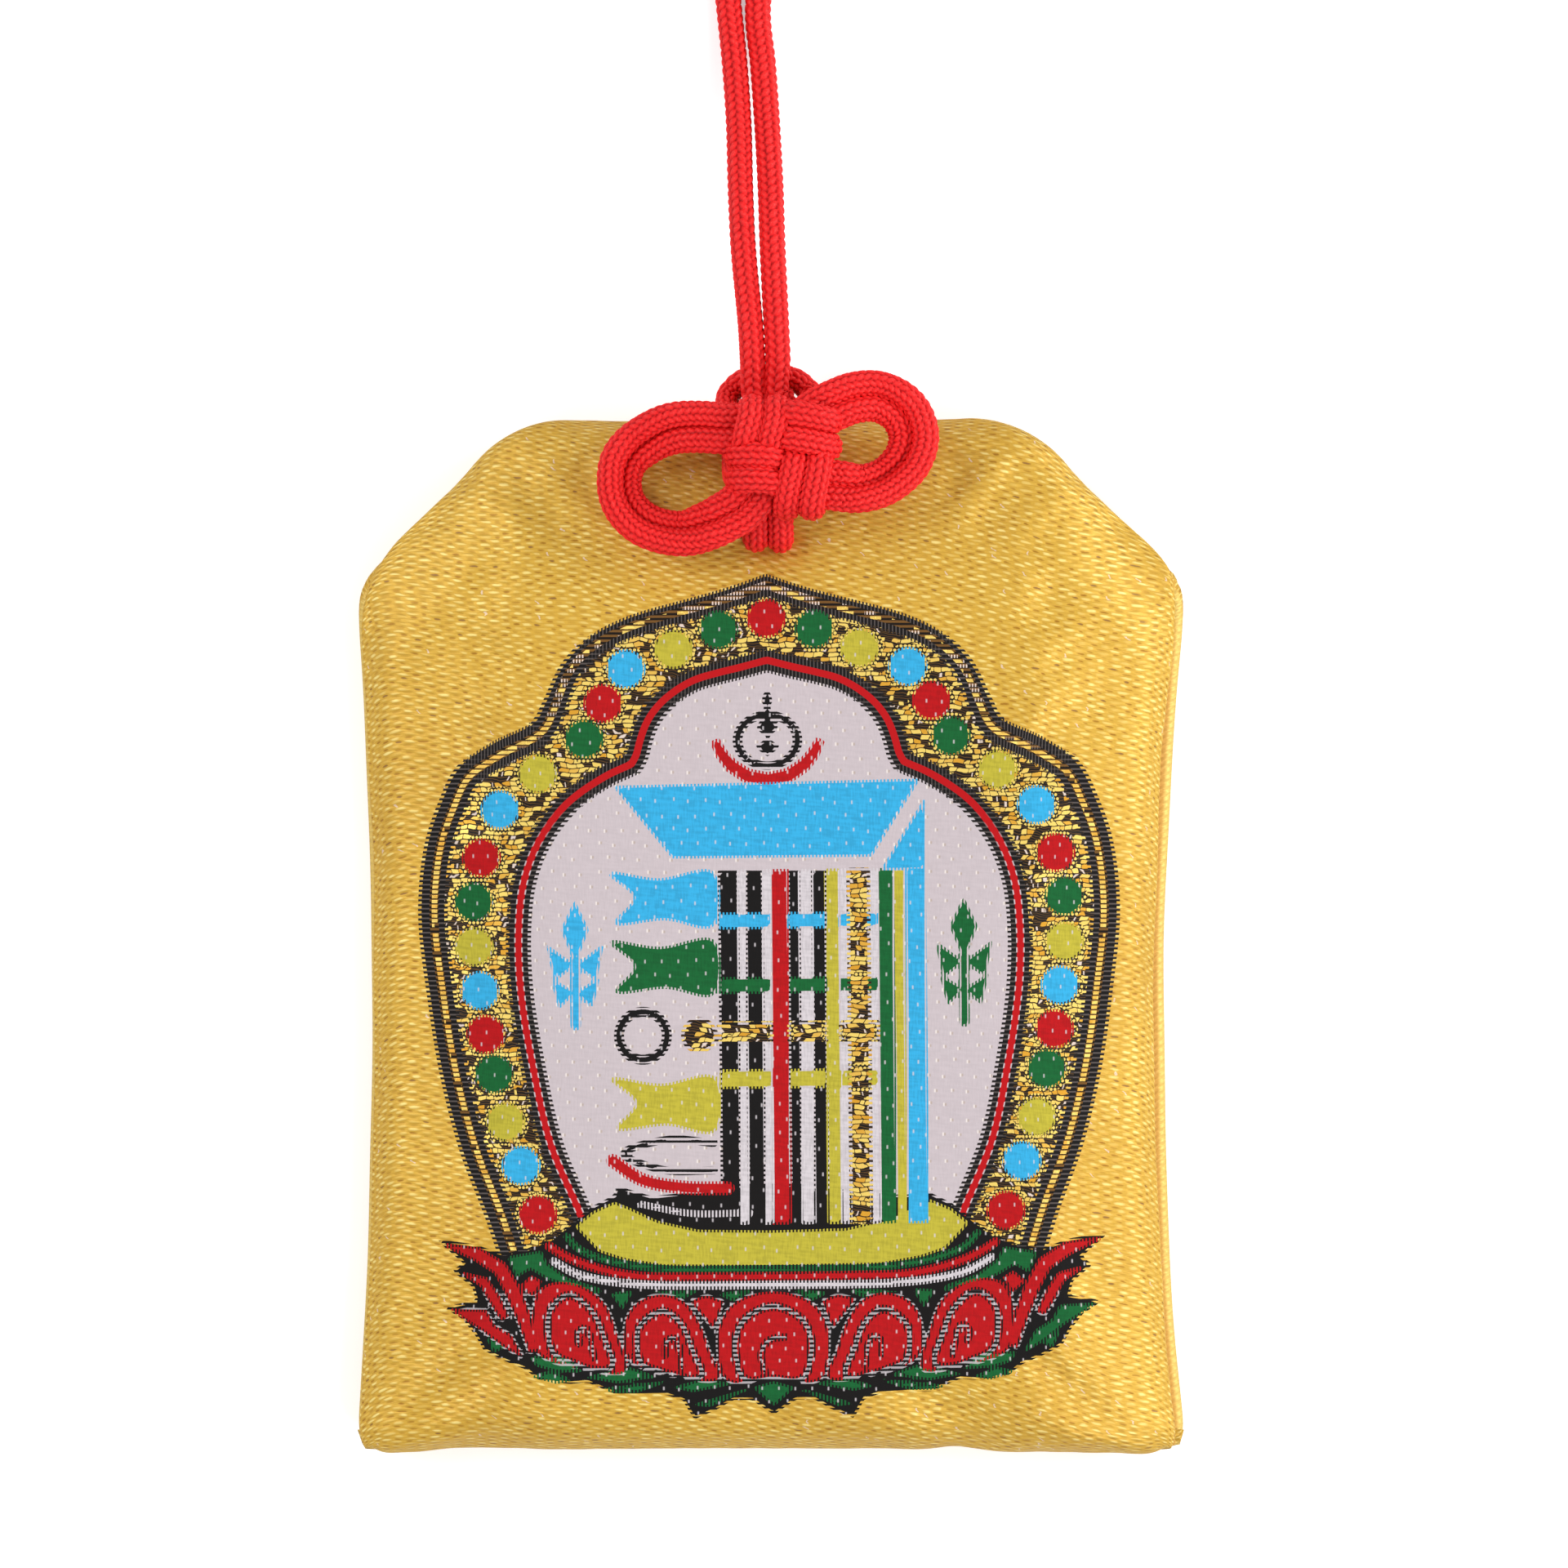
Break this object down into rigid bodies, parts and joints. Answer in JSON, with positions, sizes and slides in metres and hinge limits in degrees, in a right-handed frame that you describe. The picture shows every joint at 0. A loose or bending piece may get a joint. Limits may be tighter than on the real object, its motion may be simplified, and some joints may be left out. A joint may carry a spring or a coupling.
{
  "type": "amulet pouch",
  "caption": "Padded satin amulet pouch with folded shoulders and a woven ornament, closed by a doubled braided cord tied in an ornamental knot and ending in a hanging loop.",
  "frame": {"origin": "middle of the pouch's outline, cord left out, on the flat back it rests on", "axes": "+Z leaves the decorated face, +Y runs towards the mouth and the cord, +X is the right of the face"},
  "size_m": [0.06, 0.1525, 0.0132],
  "materials": {
    "satin": "yellow jacquard satin with a sheen",
    "thread": "matt sewing thread",
    "padding": "soft white batting",
    "board": "plain grey-white board",
    "paper": "blank uncoated paper",
    "braid": "red braided cord"
  },
  "bodies": {
    "pouch": {"front_panel": "satin", "back_panel": "satin", "seam_thread_left": "thread", "seam_thread_right": "thread", "seam_thread_bottom": "thread", "padding_sheet": "padding", "stiffener_card": "board", "paper_slip": "paper", "cord_tail_left": "braid", "cord_tail_right": "braid"},
    "knot": {"knot_strand_left": "braid", "knot_strand_right": "braid"},
    "loop": {"hanging_loop": "braid"}
  },
  "joints": [
    {"name": "knot_tilt", "type": "hinge", "parent": "pouch", "child": "knot", "pos_m": [-0.00009, 0.02859, 0.00802], "axis": [1, 0, 0], "range_deg": [0, 90]},
    {"name": "loop_swing", "type": "hinge", "parent": "knot", "child": "loop", "pos_m": [-0.00026, 0.04195, 0.00797], "axis": [1, 0, 0], "range_deg": [0, 90]}
  ]
}
